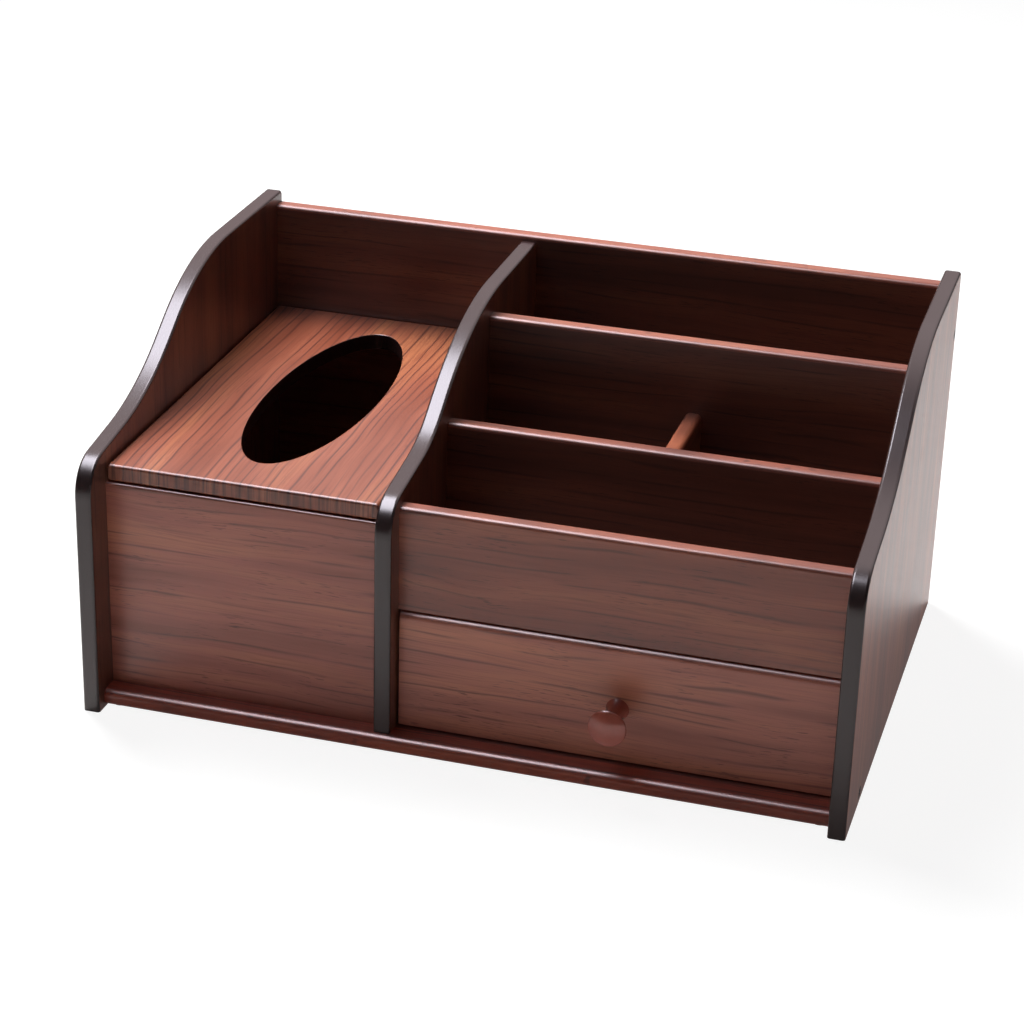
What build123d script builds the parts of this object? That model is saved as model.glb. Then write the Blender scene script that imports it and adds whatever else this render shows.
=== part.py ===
from build123d import *
import os

os.makedirs("parts", exist_ok=True)

# Tissue box with drawer, built of 9 mm boards. Seen from the front, the left bay holds tissues
# under a hinged lid with an oval slot, and the right bay holds an open organiser above a drawer.
# X runs to the right, Y to the rear and Z up. The origin is on the ground, under the middle of
# the whole box with its knob. Sizes are in millimetres.

# Case
case_width = 400.0
side_depth = 273.0
side_height = 200.0
board = 9.0
pad_diameter = 10.0
pad_thickness = 1.0
pad_inset = 1.0
edge_round = 1.5
board_round = 2.5
nose_round = 3.8

# Curved upper edge of the side panels: a corner, a gentle shoulder, a ramp and a level top
side_corner_height = 138.5
side_ramp_start = 75.8
side_ramp_start_height = 149.6
side_ramp_end = 151.9
side_corner_radius = 20.0
side_foot_radius = 150.0
side_crest_radius = 130.0
rear_corner_radius = 3.0

# Centre upright, whose edge runs inside the side panels' edge
upright_setback = 10.5
upright_height = 190.0
upright_corner_height = 135.2
upright_ramp_start = 77.2
upright_ramp_start_height = 144.8
upright_ramp_end = 145.5
upright_corner_radius = 19.0
upright_foot_radius = 75.0
upright_crest_radius = 175.0

# Back and base
back_height = 192.5
base_setback = 6.5

# Tissue bay
tissue_bay_width = 146.0
tissue_front_setback = 18.5
tissue_front_height = 113.5
lid_rest_gap = 0.5
lid_setback = 1.0
lid_side_gap = 0.7
lid_rear_gap = 1.2
lid_round = 1.8
slot_width = 60.0
slot_length = 190.0
slot_offset = 1.5
slot_round = 0.8

# Organiser above the drawer
drawer_bay_height = 65.5
upper_front_setback = 23.0
upper_front_height = 56.0
front_compartment_depth = 69.0
middle_compartment_depth = 64.0
middle_partition_height = 61.0
rear_partition_height = 93.5
divider_height = 53.5
divider_round = 3.0

# Drawer
drawer_setback = 21.0
drawer_side_gap = 1.25
drawer_front_gap = 1.0
drawer_running_gap = 0.3
drawer_rear_gap = 4.0
drawer_wall = 8.0
drawer_wall_height = 51.0
drawer_bottom_thickness = 3.0
drawer_bottom_rise = 5.0
groove_depth = 3.5
groove_gap = 0.15
drawer_round = 3.5

# Knob
knob_length = 24.0
knob_base_diameter = 12.0
knob_neck_diameter = 9.4
knob_head_diameter = 19.6
knob_dome_height = 3.0
knob_rim = 1.0
knob_rim_round = 0.45
knob_offset = 1.75
knob_drop = 2.65

# Fasteners and their bores
screw_length = 30.0
screw_diameter = 3.5
screw_head_diameter = 7.0
small_screw_length = 20.0
small_screw_diameter = 3.0
small_screw_head_diameter = 5.6
knob_screw_diameter = 4.0
knob_screw_head_diameter = 8.0
knob_screw_head_height = 2.4
knob_screw_bite = 14.0
recess_width = 0.9
recess_share_of_head = 0.6
recess_depth = 1.2
dowel_diameter = 5.0
dowel_in_end = 12.0
dowel_inset = 15.0
pin_diameter = 4.0
pin_in_lid = 12.0
pin_from_rear = 8.0
fixed_fit = 0.02
running_fit = 0.05
bore_end_gap = 0.5
web = 1.0
side_screw_from_front = 39.0
back_side_screw_height = 164.5
upright_base_screw_inset = 27.0
upright_back_screw_heights = (40.0, 160.0)
floor_screw_spread = 120.0

# Reference faces of the case
outer_x = case_width / 2
inner_x = outer_x - board
knob_proud = knob_length - drawer_setback
rear_y = (side_depth + knob_proud) / 2
front_y = rear_y - side_depth
back_face_y = rear_y - board
base_bottom_z = pad_thickness
base_top_z = base_bottom_z + board
base_front_y = front_y + base_setback

upright_left_x = tissue_bay_width - inner_x
upright_right_x = upright_left_x + board
upright_mid_x = (upright_left_x + upright_right_x) / 2
upright_front_y = front_y + upright_setback

# Tissue bay
tissue_front_y = front_y + tissue_front_setback
tissue_front_top_z = base_top_z + tissue_front_height
lid_bottom_z = tissue_front_top_z + lid_rest_gap
lid_left_x = lid_side_gap - inner_x
lid_right_x = upright_left_x - lid_side_gap
lid_front_y = tissue_front_y + lid_setback
lid_rear_y = back_face_y - lid_rear_gap
lid_width = lid_right_x - lid_left_x
lid_depth = lid_rear_y - lid_front_y
lid_middle = ((lid_left_x + lid_right_x) / 2, (lid_front_y + lid_rear_y) / 2)
pivot_y = lid_rear_y - pin_from_rear
pivot_z = lid_bottom_z + board / 2

# Organiser bay
bay_width = inner_x - upright_right_x
bay_mid_x = (upright_right_x + inner_x) / 2
floor_bottom_z = base_top_z + drawer_bay_height
floor_top_z = floor_bottom_z + board
upper_front_y = front_y + upper_front_setback
upper_front_top_z = floor_bottom_z + upper_front_height
floor_front_y = upper_front_y + board
floor_depth = back_face_y - floor_front_y
middle_partition_y = floor_front_y + front_compartment_depth
divider_front_y = middle_partition_y + board
rear_partition_y = divider_front_y + middle_compartment_depth
divider_left_x = bay_mid_x - board / 2

# Drawer
drawer_left_x = upright_right_x + drawer_side_gap
drawer_right_x = inner_x - drawer_side_gap
drawer_width = drawer_right_x - drawer_left_x
drawer_front_y = front_y + drawer_setback
drawer_box_y = drawer_front_y + board
drawer_front_z = base_top_z + drawer_front_gap
drawer_front_height = drawer_bay_height - 2 * drawer_front_gap
drawer_box_z = base_top_z + drawer_running_gap
drawer_rear_y = back_face_y - drawer_rear_gap
drawer_box_depth = drawer_rear_y - drawer_box_y
drawer_back_y = drawer_rear_y - drawer_wall
drawer_inner_width = drawer_width - 2 * drawer_wall
drawer_bottom_z = drawer_box_z + drawer_bottom_rise
groove_z = drawer_bottom_z - groove_gap
groove_height = drawer_bottom_thickness + 2 * groove_gap
panel_into_groove = groove_depth - groove_gap
knob_x = (drawer_left_x + drawer_right_x) / 2 + knob_offset
knob_z = drawer_front_z + drawer_front_height / 2 - knob_drop

# Bores: a blind hole in a board's face stops short of its middle, so that two can meet back to back
dowel_in_face = (board - web) / 2
dowel_bore = dowel_diameter / 2 + fixed_fit
screw_bore = screw_diameter / 2 + fixed_fit
small_screw_bore = small_screw_diameter / 2 + fixed_fit
countersink_angle = 90.0

low_corner = (Align.MIN, Align.MIN, Align.MIN)
ahead = (Align.CENTER, Align.CENTER, Align.MIN)
behind = (Align.CENTER, Align.CENTER, Align.MAX)


def inset(low, high):
    # The two dowel places between two edges of a board
    return (low + dowel_inset, high - dowel_inset)


def across(direction, x, spots):
    # Places at one X that look along X, from spots given as (y, z)
    return [Plane(origin=(x, y, z), z_dir=(direction, 0, 0)) for y, z in spots]


def along(direction, y, spots):
    # Places at one Y that look along Y, from spots given as (x, z)
    return [Plane(origin=(x, y, z), z_dir=(0, direction, 0)) for x, z in spots]


# Dowel spots as (y, z): the tissue bay's front panel, and the boards that cross the right bay
tissue_spots = [(tissue_front_y + board / 2, z) for z in inset(base_top_z, tissue_front_top_z)]
upper_front_spots = [
    (upper_front_y + board / 2, z) for z in inset(floor_bottom_z, upper_front_top_z)
]
floor_spots = [(y, floor_bottom_z + board / 2) for y in inset(floor_front_y, back_face_y)]
middle_spots = [
    (middle_partition_y + board / 2, z)
    for z in inset(floor_top_z, floor_top_z + middle_partition_height)
]
rear_spots = [
    (rear_partition_y + board / 2, z)
    for z in inset(floor_top_z, floor_top_z + rear_partition_height)
]
bay_spots = upper_front_spots + floor_spots + middle_spots + rear_spots
divider_spots = [(bay_mid_x, z) for z in inset(floor_top_z, floor_top_z + divider_height)]
pin_spots = [(pivot_y, pivot_z)]


def bay_ends(spots):
    # Both ends of a board that crosses the right bay, each place looking into the board
    return across(1, upright_right_x, spots) + across(-1, inner_x, spots)


tissue_ends = across(1, -inner_x, tissue_spots) + across(-1, upright_left_x, tissue_spots)
divider_ends = along(1, divider_front_y, divider_spots) + along(
    -1, rear_partition_y, divider_spots
)
lid_ends = across(1, -inner_x, pin_spots) + across(-1, upright_left_x, pin_spots)

# Screw places look out of the surface that the head lies in
side_screw_spots = [
    (rear_y - board / 2, back_side_screw_height),
    (front_y + side_screw_from_front, base_bottom_z + board / 2),
]
side_screw_places = across(-1, -outer_x, side_screw_spots) + across(1, outer_x, side_screw_spots)
base_screw_places = [
    Plane(origin=(upright_mid_x, y, base_bottom_z), z_dir=(0, 0, -1))
    for y in (upright_front_y + upright_base_screw_inset, back_face_y - upright_base_screw_inset)
]
upright_back_places = along(1, rear_y, [(upright_mid_x, z) for z in upright_back_screw_heights])
floor_back_places = along(
    1,
    rear_y,
    [(bay_mid_x + side * floor_screw_spread / 2, floor_bottom_z + board / 2) for side in (-1, 1)],
)
base_back_places = along(
    1, rear_y, [(x, base_bottom_z + board / 2) for x in (lid_middle[0], bay_mid_x)]
)
back_screw_places = upright_back_places + floor_back_places + base_back_places


def bore(radius, depth, direction):
    # A blind or through hole from the current places, ahead of them or behind them
    Cylinder(radius, depth, align=direction, mode=Mode.SUBTRACT)


def screw_hole(thickness):
    # A countersunk clearance hole through the board that a screw's head lies in
    CounterSinkHole(screw_bore, screw_head_diameter / 2, thickness, countersink_angle)


def pilot_hole():
    # The bore that takes the whole screw, cut in the board behind
    bore(screw_bore, screw_length + bore_end_gap, behind)


def swept_outline(front, foot, corner_z, start, start_z, end, top_z, rear, radii):
    # A board whose upper edge rises from its front corner over a shoulder and a ramp
    FilletPolyline(
        (front, foot),
        (front, corner_z),
        (start, start_z),
        (end, top_z),
        (rear, top_z),
        (rear, foot),
        radius=radii,
    )
    Line((rear, foot), (front, foot))


def side_outline():
    swept_outline(
        front_y,
        0,
        side_corner_height,
        front_y + side_ramp_start,
        side_ramp_start_height,
        front_y + side_ramp_end,
        side_height,
        rear_y,
        [side_corner_radius, side_foot_radius, side_crest_radius, rear_corner_radius],
    )


def rim(part):
    # The edges round both broad faces of an upright board, without the two that it stands on
    return part.faces().filter_by(Axis.X).edges().sort_by(Axis.Z)[2:]


def cross_recess(head_diameter):
    # The two crossed slots that a driver fits, sunk below the current places
    for turn in (0, 90):
        Box(
            head_diameter * recess_share_of_head,
            recess_width,
            recess_depth,
            rotation=(0, 0, turn),
            align=behind,
            mode=Mode.SUBTRACT,
        )


def countersunk_screw(length, diameter, head_diameter):
    # A cross-recessed wood screw, its head at the origin and its point along -Z
    taper = (head_diameter - diameter) / 2
    with BuildPart() as screw:
        with BuildSketch(Plane.XZ):
            with BuildLine():
                Polyline(
                    (0, 0),
                    (head_diameter / 2, 0),
                    (diameter / 2, -taper),
                    (diameter / 2, -length + diameter),
                    (0, -length),
                    close=True,
                )
            make_face()
        revolve(axis=Axis.Z)
        cross_recess(head_diameter)
    return screw.part


def dowel(in_face, in_end, diameter):
    # A peg whose origin is where two boards meet, its longer end along +Z
    with BuildPart() as peg:
        Cylinder(diameter / 2, in_end - bore_end_gap, align=ahead)
        Cylinder(diameter / 2, in_face - bore_end_gap, align=behind)
        chamfer(peg.edges().group_by(Axis.Z)[0], length=bore_end_gap)
        chamfer(peg.edges().group_by(Axis.Z)[-1], length=bore_end_gap)
    return peg.part


case_screw = countersunk_screw(screw_length, screw_diameter, screw_head_diameter)
small_screw = countersunk_screw(
    small_screw_length, small_screw_diameter, small_screw_head_diameter
)
board_dowel = dowel(dowel_in_face, dowel_in_end, dowel_diameter)
lid_pin = dowel(dowel_in_face, lid_side_gap + pin_in_lid, pin_diameter)

# Side panels
with BuildPart() as left_side_panel:
    with BuildSketch(Plane.YZ.offset(-outer_x)):
        with BuildLine():
            side_outline()
        make_face()
    extrude(amount=board)
    fillet(rim(left_side_panel), radius=edge_round)
    with Locations(*across(-1, -outer_x, side_screw_spots)):
        screw_hole(board)
    with Locations(*across(1, -inner_x, tissue_spots)):
        bore(dowel_bore, dowel_in_face, behind)
    with Locations(*across(1, -inner_x, pin_spots)):
        bore(pin_diameter / 2 + fixed_fit, dowel_in_face, behind)

with BuildPart() as right_side_panel:
    with BuildSketch(Plane.YZ.offset(inner_x)):
        with BuildLine():
            side_outline()
        make_face()
    extrude(amount=board)
    fillet(rim(right_side_panel), radius=edge_round)
    with Locations(*across(1, outer_x, side_screw_spots)):
        screw_hole(board)
    with Locations(*across(-1, inner_x, bay_spots)):
        bore(dowel_bore, dowel_in_face, behind)

# Centre upright, standing on the base in front of the back panel
with BuildPart() as centre_upright:
    with BuildSketch(Plane.YZ.offset(upright_left_x)):
        with BuildLine():
            swept_outline(
                upright_front_y,
                base_top_z,
                upright_corner_height,
                front_y + upright_ramp_start,
                upright_ramp_start_height,
                front_y + upright_ramp_end,
                upright_height,
                back_face_y,
                [upright_corner_radius, upright_foot_radius, upright_crest_radius, 0],
            )
        make_face()
    extrude(amount=board)
    edges_ahead_of_back_panel = rim(centre_upright).group_by(Axis.Y)[:-1]
    fillet([edge for group in edges_ahead_of_back_panel for edge in group], radius=edge_round)
    with Locations(*across(-1, upright_left_x, tissue_spots)):
        bore(dowel_bore, dowel_in_face, behind)
    with Locations(*across(-1, upright_left_x, pin_spots)):
        bore(pin_diameter / 2 + fixed_fit, dowel_in_face, behind)
    with Locations(*across(1, upright_right_x, bay_spots)):
        bore(dowel_bore, dowel_in_face, behind)
    with Locations(*base_screw_places, *upright_back_places):
        pilot_hole()

# Back panel between the side panels
with BuildPart() as back_panel:
    with Locations((-inner_x, back_face_y, base_bottom_z)):
        Box(2 * inner_x, board, back_height, align=low_corner)
    fillet(back_panel.edges().filter_by(Axis.X).group_by(Axis.Z)[-1], radius=board_round)
    with Locations(*back_screw_places):
        screw_hole(board)
    with Locations(*side_screw_places):
        pilot_hole()

# Base board, with a rounded nose along its front
with BuildPart() as base_board:
    with Locations((-inner_x, base_front_y, base_bottom_z)):
        Box(2 * inner_x, back_face_y - base_front_y, board, align=low_corner)
    fillet(base_board.edges().filter_by(Axis.X).group_by(Axis.Y)[0], radius=nose_round)
    with Locations(*base_screw_places):
        screw_hole(board)
    with Locations(*side_screw_places, *base_back_places):
        pilot_hole()

pad_x = inner_x - pad_inset - pad_diameter / 2
pad_front_y = base_front_y + nose_round + pad_diameter / 2
pad_rear_y = back_face_y - pad_inset - pad_diameter / 2
with BuildPart() as foot_pads:
    with Locations(*[(x, y) for x in (-pad_x, pad_x) for y in (pad_front_y, pad_rear_y)]):
        Cylinder(pad_diameter / 2, pad_thickness, align=ahead)
    chamfer(foot_pads.edges().group_by(Axis.Z)[0], length=pad_thickness / 4)

# Tissue bay: front panel, then the lid on its two pins
with BuildPart() as tissue_front_panel:
    with Locations((-inner_x, tissue_front_y, base_top_z)):
        Box(tissue_bay_width, board, tissue_front_height, align=low_corner)
    fillet(tissue_front_panel.edges().filter_by(Axis.X).group_by(Axis.Z)[-1], radius=edge_round)
    with Locations(*tissue_ends):
        bore(dowel_bore, dowel_in_end, ahead)

with BuildPart() as tissue_lid:
    with Locations((lid_left_x, lid_front_y, lid_bottom_z)):
        Box(lid_width, lid_depth, board, align=low_corner)
    fillet(tissue_lid.edges().filter_by(Axis.Z, reverse=True), radius=lid_round)
    with BuildSketch(Plane.XY.offset(lid_bottom_z)):
        with Locations((lid_middle[0], lid_middle[1] + slot_offset)):
            Ellipse(slot_width / 2, slot_length / 2)
    extrude(amount=board, mode=Mode.SUBTRACT)
    fillet(tissue_lid.edges().filter_by(GeomType.ELLIPSE), radius=slot_round)
    with Locations(*lid_ends):
        bore(pin_diameter / 2 + running_fit, lid_side_gap + pin_in_lid, ahead)

with BuildPart() as lid_hinge_pins:
    with Locations(*lid_ends):
        add(lid_pin)

# Organiser: floor, front panel, two partitions and the short divider
with BuildPart() as organiser_floor:
    with Locations((upright_right_x, floor_front_y, floor_bottom_z)):
        Box(bay_width, floor_depth, board, align=low_corner)
    with Locations(*bay_ends(floor_spots)):
        bore(dowel_bore, dowel_in_end, ahead)
    with Locations(*floor_back_places):
        pilot_hole()

with BuildPart() as upper_front_panel:
    with Locations((upright_right_x, upper_front_y, floor_bottom_z)):
        Box(bay_width, board, upper_front_height, align=low_corner)
    fillet(upper_front_panel.edges().filter_by(Axis.X).group_by(Axis.Z)[-1], radius=board_round)
    with Locations(*bay_ends(upper_front_spots)):
        bore(dowel_bore, dowel_in_end, ahead)

with BuildPart() as middle_partition:
    with Locations((upright_right_x, middle_partition_y, floor_top_z)):
        Box(bay_width, board, middle_partition_height, align=low_corner)
    fillet(middle_partition.edges().filter_by(Axis.X).group_by(Axis.Z)[-1], radius=board_round)
    with Locations(*bay_ends(middle_spots)):
        bore(dowel_bore, dowel_in_end, ahead)
    with Locations(*divider_ends):
        bore(dowel_bore, dowel_in_face, behind)

with BuildPart() as rear_partition:
    with Locations((upright_right_x, rear_partition_y, floor_top_z)):
        Box(bay_width, board, rear_partition_height, align=low_corner)
    fillet(rear_partition.edges().filter_by(Axis.X).group_by(Axis.Z)[-1], radius=board_round)
    with Locations(*bay_ends(rear_spots)):
        bore(dowel_bore, dowel_in_end, ahead)
    with Locations(*divider_ends):
        bore(dowel_bore, dowel_in_face, behind)

with BuildPart() as short_divider:
    with Locations((divider_left_x, divider_front_y, floor_top_z)):
        Box(board, middle_compartment_depth, divider_height, align=low_corner)
    fillet(short_divider.edges().filter_by(Axis.Y).group_by(Axis.Z)[-1], radius=divider_round)
    with Locations(*divider_ends):
        bore(dowel_bore, dowel_in_end, ahead)

# Dowels and screws of the case
with BuildPart() as tissue_front_dowels:
    with Locations(*tissue_ends):
        add(board_dowel)

with BuildPart() as upper_front_dowels:
    with Locations(*bay_ends(upper_front_spots)):
        add(board_dowel)

with BuildPart() as floor_dowels:
    with Locations(*bay_ends(floor_spots)):
        add(board_dowel)

with BuildPart() as partition_dowels:
    with Locations(*bay_ends(middle_spots + rear_spots)):
        add(board_dowel)

with BuildPart() as divider_dowels:
    with Locations(*divider_ends):
        add(board_dowel)

with BuildPart() as side_panel_screws:
    with Locations(*side_screw_places):
        add(case_screw)

with BuildPart() as base_screws:
    with Locations(*base_screw_places):
        add(case_screw)

with BuildPart() as back_screws:
    with Locations(*back_screw_places):
        add(case_screw)

# Drawer: its joints as (x, z) spots on the front's rear face, and (y, z) spots on the sides
wall_mid_xs = (drawer_left_x + drawer_wall / 2, drawer_right_x - drawer_wall / 2)
wall_top_z = drawer_box_z + drawer_wall_height
drawer_dowel_heights = (groove_z + groove_height + dowel_diameter, wall_top_z - dowel_inset)
drawer_dowel_places = along(
    1, drawer_box_y, [(x, z) for x in wall_mid_xs for z in drawer_dowel_heights]
)
back_screw_spots = [(drawer_back_y + drawer_wall / 2, z) for z in drawer_dowel_heights]
small_screw_places = across(-1, drawer_left_x, back_screw_spots) + across(
    1, drawer_right_x, back_screw_spots
)
knob_screw_place = along(1, drawer_box_y, [(knob_x, knob_z)])


def bottom_groove():
    # The slot round the inside of the drawer that holds its bottom
    with Locations(
        (drawer_left_x + drawer_wall - groove_depth, drawer_box_y - groove_depth, groove_z)
    ):
        Box(
            drawer_inner_width + 2 * groove_depth,
            drawer_back_y - drawer_box_y + 2 * groove_depth,
            groove_height,
            align=low_corner,
            mode=Mode.SUBTRACT,
        )


def drawer_side(left_x):
    # One side of the drawer, from the front's rear face to the drawer's rear
    with Locations((left_x, drawer_box_y, drawer_box_z)):
        Box(drawer_wall, drawer_box_depth, drawer_wall_height, align=low_corner)
    bottom_groove()
    with Locations(*drawer_dowel_places):
        bore(dowel_bore, dowel_in_end, ahead)
    with Locations(*small_screw_places):
        CounterSinkHole(
            small_screw_bore, small_screw_head_diameter / 2, drawer_wall, countersink_angle
        )


with BuildPart() as drawer_front:
    with Locations((drawer_left_x, drawer_front_y, drawer_front_z)):
        Box(drawer_width, board, drawer_front_height, align=low_corner)
    front_edges = drawer_front.edges().filter_by(Axis.X).group_by(Axis.Y)[0]
    fillet(front_edges.sort_by(Axis.Z)[-1], radius=drawer_round)
    bottom_groove()
    with Locations(*drawer_dowel_places):
        bore(dowel_bore, dowel_in_face, behind)
    with Locations(*knob_screw_place):
        bore(knob_screw_diameter / 2 + fixed_fit, board, behind)

with BuildPart() as drawer_left_side:
    drawer_side(drawer_left_x)

with BuildPart() as drawer_right_side:
    drawer_side(drawer_right_x - drawer_wall)

with BuildPart() as drawer_back:
    with Locations((drawer_left_x + drawer_wall, drawer_back_y, drawer_box_z)):
        Box(drawer_inner_width, drawer_wall, drawer_wall_height, align=low_corner)
    bottom_groove()
    with Locations(*small_screw_places):
        bore(small_screw_bore, small_screw_length + bore_end_gap, behind)

with BuildPart() as drawer_bottom:
    with Locations(
        (
            drawer_left_x + drawer_wall - panel_into_groove,
            drawer_box_y - panel_into_groove,
            drawer_bottom_z,
        )
    ):
        Box(
            drawer_inner_width + 2 * panel_into_groove,
            drawer_back_y - drawer_box_y + 2 * panel_into_groove,
            drawer_bottom_thickness,
            align=low_corner,
        )

with BuildPart() as drawer_front_dowels:
    with Locations(*drawer_dowel_places):
        add(board_dowel)

with BuildPart() as drawer_back_screws:
    with Locations(*small_screw_places):
        add(small_screw)

# Knob: a turned mushroom, drawn as half a section from the drawer's face and spun about its axis
knob_head_radius = knob_head_diameter / 2
knob_dome_foot = knob_length - knob_dome_height
knob_head_back = knob_dome_foot - knob_rim
knob_dome_radius = (knob_head_radius**2 + knob_dome_height**2) / (2 * knob_dome_height)
knob_foot = (knob_x, drawer_front_y, knob_z)
with BuildPart() as drawer_knob:
    with BuildSketch(Plane(knob_foot)) as knob_section:
        with BuildLine():
            ThreePointArc(
                (knob_base_diameter / 2, 0),
                (knob_neck_diameter / 2, -knob_head_back / 2),
                (knob_head_radius, -knob_head_back),
            )
            Line((knob_head_radius, -knob_head_back), (knob_head_radius, -knob_dome_foot))
            RadiusArc((knob_head_radius, -knob_dome_foot), (0, -knob_length), knob_dome_radius)
            Polyline((0, -knob_length), (0, 0), (knob_base_diameter / 2, 0))
        make_face()
        fillet(knob_section.vertices().group_by(Axis.X)[-1], radius=knob_rim_round)
    revolve(axis=Axis(knob_foot, (0, -1, 0)))
    with Locations(*knob_screw_place):
        bore(
            knob_screw_diameter / 2 + fixed_fit, board + knob_screw_bite + bore_end_gap, behind
        )

knob_screw_top = along(1, drawer_box_y + knob_screw_head_height, [(knob_x, knob_z)])
with BuildPart() as knob_screw:
    with Locations(*knob_screw_place):
        Cylinder(knob_screw_diameter / 2, board + knob_screw_bite, align=behind)
        Cylinder(knob_screw_head_diameter / 2, knob_screw_head_height, align=ahead)
    fillet(knob_screw.edges().group_by(Axis.Y)[-1], radius=knob_screw_head_height / 2)
    with Locations(*knob_screw_top):
        cross_recess(knob_screw_head_diameter)

sub_parts = {
    "left_side_panel": left_side_panel,
    "right_side_panel": right_side_panel,
    "centre_upright": centre_upright,
    "back_panel": back_panel,
    "base_board": base_board,
    "foot_pads": foot_pads,
    "tissue_front_panel": tissue_front_panel,
    "tissue_lid": tissue_lid,
    "lid_hinge_pins": lid_hinge_pins,
    "organiser_floor": organiser_floor,
    "upper_front_panel": upper_front_panel,
    "middle_partition": middle_partition,
    "rear_partition": rear_partition,
    "short_divider": short_divider,
    "tissue_front_dowels": tissue_front_dowels,
    "upper_front_dowels": upper_front_dowels,
    "floor_dowels": floor_dowels,
    "partition_dowels": partition_dowels,
    "divider_dowels": divider_dowels,
    "side_panel_screws": side_panel_screws,
    "base_screws": base_screws,
    "back_screws": back_screws,
    "drawer_front": drawer_front,
    "drawer_left_side": drawer_left_side,
    "drawer_right_side": drawer_right_side,
    "drawer_back": drawer_back,
    "drawer_bottom": drawer_bottom,
    "drawer_front_dowels": drawer_front_dowels,
    "drawer_back_screws": drawer_back_screws,
    "drawer_knob": drawer_knob,
    "knob_screw": knob_screw,
}
for name, builder in sub_parts.items():
    builder.part.label = name
    export_step(builder.part, f"parts/{name}.step")
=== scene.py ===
import bpy
import math
from mathutils import Matrix, Vector


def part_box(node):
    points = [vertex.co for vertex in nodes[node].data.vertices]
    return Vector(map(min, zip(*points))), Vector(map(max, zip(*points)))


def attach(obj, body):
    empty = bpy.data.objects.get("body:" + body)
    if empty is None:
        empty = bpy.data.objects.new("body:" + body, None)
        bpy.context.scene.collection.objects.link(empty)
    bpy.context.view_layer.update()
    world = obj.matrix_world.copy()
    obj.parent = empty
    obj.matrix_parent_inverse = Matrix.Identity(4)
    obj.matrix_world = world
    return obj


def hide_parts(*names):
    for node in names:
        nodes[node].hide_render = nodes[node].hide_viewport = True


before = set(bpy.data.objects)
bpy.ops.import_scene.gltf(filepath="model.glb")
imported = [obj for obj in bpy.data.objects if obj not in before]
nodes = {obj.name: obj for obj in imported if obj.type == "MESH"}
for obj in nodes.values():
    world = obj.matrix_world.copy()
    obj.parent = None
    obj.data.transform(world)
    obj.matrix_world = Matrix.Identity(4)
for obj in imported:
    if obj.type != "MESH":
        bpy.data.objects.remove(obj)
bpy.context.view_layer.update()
mm = 0.001
print("frame loaded:", len(nodes), "nodes")


def colour(code):
    # an sRGB hex code as the linear colour that shaders take
    channels = [int(code[i:i + 2], 16) / 255 for i in (1, 3, 5)]
    return [c / 12.92 if c <= 0.04045 else ((c + 0.055) / 1.055) ** 2.4 for c in channels] + [1.0]


def grey(value):
    return [value, value, value, 1.0]


def addNode(tree, kind, inputs=(), stops=(), **settings):
    # inputs is a list from the first socket on, or goes by socket name or number; each is a value,
    # a socket, or a node whose first output is meant; stops holds a ramp's (place, colour) pairs
    node = tree.nodes.new(kind)
    for name, value in settings.items():
        setattr(node, name, value)
    named = inputs if isinstance(inputs, dict) else dict(enumerate(inputs))
    for key, value in named.items():
        source = value.outputs[0] if isinstance(value, bpy.types.Node) else value
        if isinstance(source, bpy.types.NodeSocket):
            tree.links.new(source, node.inputs[key])
        else:
            node.inputs[key].default_value = source
    if stops:
        ramp = node.color_ramp
        while len(ramp.elements) < len(stops):
            ramp.elements.new(0.5)
        for element, (place, shade) in zip(ramp.elements, stops):
            element.position = place
            element.color = shade
    return node


def newMaterial(name):
    material = bpy.data.materials.new(name)
    material.use_nodes = True
    material.node_tree.nodes.clear()
    return material, material.node_tree


# Walnut-print foil pressed on MDF: satin, with a printed grain, so its lines run on over rounded
# edges. Lengths are in millimetres, and a kind of patch is (along the grain, across it, through the
# board, noise detail). A range is where its patches start to show and where they show in full.
foil = {
    "sway": (150, 50, 90, 2), "swayWidth": 13.0,
    "ring": 6.5, "ringDrift": 2.6, "ringPatch": (300, 26, 80, 3), "ringSharp": 12.0,
    "ringFade": (48, 5, 40, 1), "ringFadeRange": (0.42, 0.62),
    "tone": (200, 16, 70, 3), "toneStops": (0.32, 0.50, 0.68),
    "fibre": (30, 0.7, 30, 3), "fibreRange": (0.42, 0.72),
    "pore": (8.0, 0.7, 9, 1), "poreRange": (0.62, 0.72),
    "porePatch": (45, 14, 40, 1), "porePatchRange": (0.42, 0.62),
    "dark": "#7b4234", "mid": "#9a5541", "light": "#b0684b",
    "lineColour": "#3c201d", "poreColour": "#43251f",
    "lineStrength": 0.6, "poreStrength": 0.6, "fibreStrength": 0.45,
    "roughness": 0.35, "roughnessSpread": 0.10,
    "fibreRelief": 0.25, "reliefStrength": 0.2, "reliefDepth": 0.04,
    "seedStep": (731, 97, 53),
}
# The lid's foil has its grain from front to rear: a pinkish brown with close, slightly wavy lines,
# and dark streaks where it is wrapped over the front edge.
lidFoil = dict(
    foil, sway=(110, 42, 90, 2), swayWidth=10.0, ring=5.0, ringDrift=1.8, ringPatch=(300, 24, 80, 3),
    ringSharp=9.0, ringFade=(150, 7, 60, 1), ringFadeRange=(0.28, 0.50), fibre=(26, 0.8, 30, 3),
    dark="#83442f", mid="#9b5740", light="#ad6a49", lineColour="#45221f", lineStrength=0.8,
    poreStrength=0.3, fibreStrength=0.6,
    streak=(40, 1.6, 30, 3), streakRange=(0.42, 0.58), streakStrength=0.55)
# The tissue front and the drawer front are lighter copies of it, painted light that brightens these two
# faces, and the base is a redder one
tissueFrontPaintedLightFoil = dict(foil, dark="#925140", mid="#ae6453", light="#bf755b")
drawerFrontPaintedLightFoil = dict(foil, dark="#9d5a47", mid="#bb705d", light="#cc8064")
baseFoil = dict(foil, dark="#a04631", mid="#c0573c", light="#d06a46")
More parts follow.
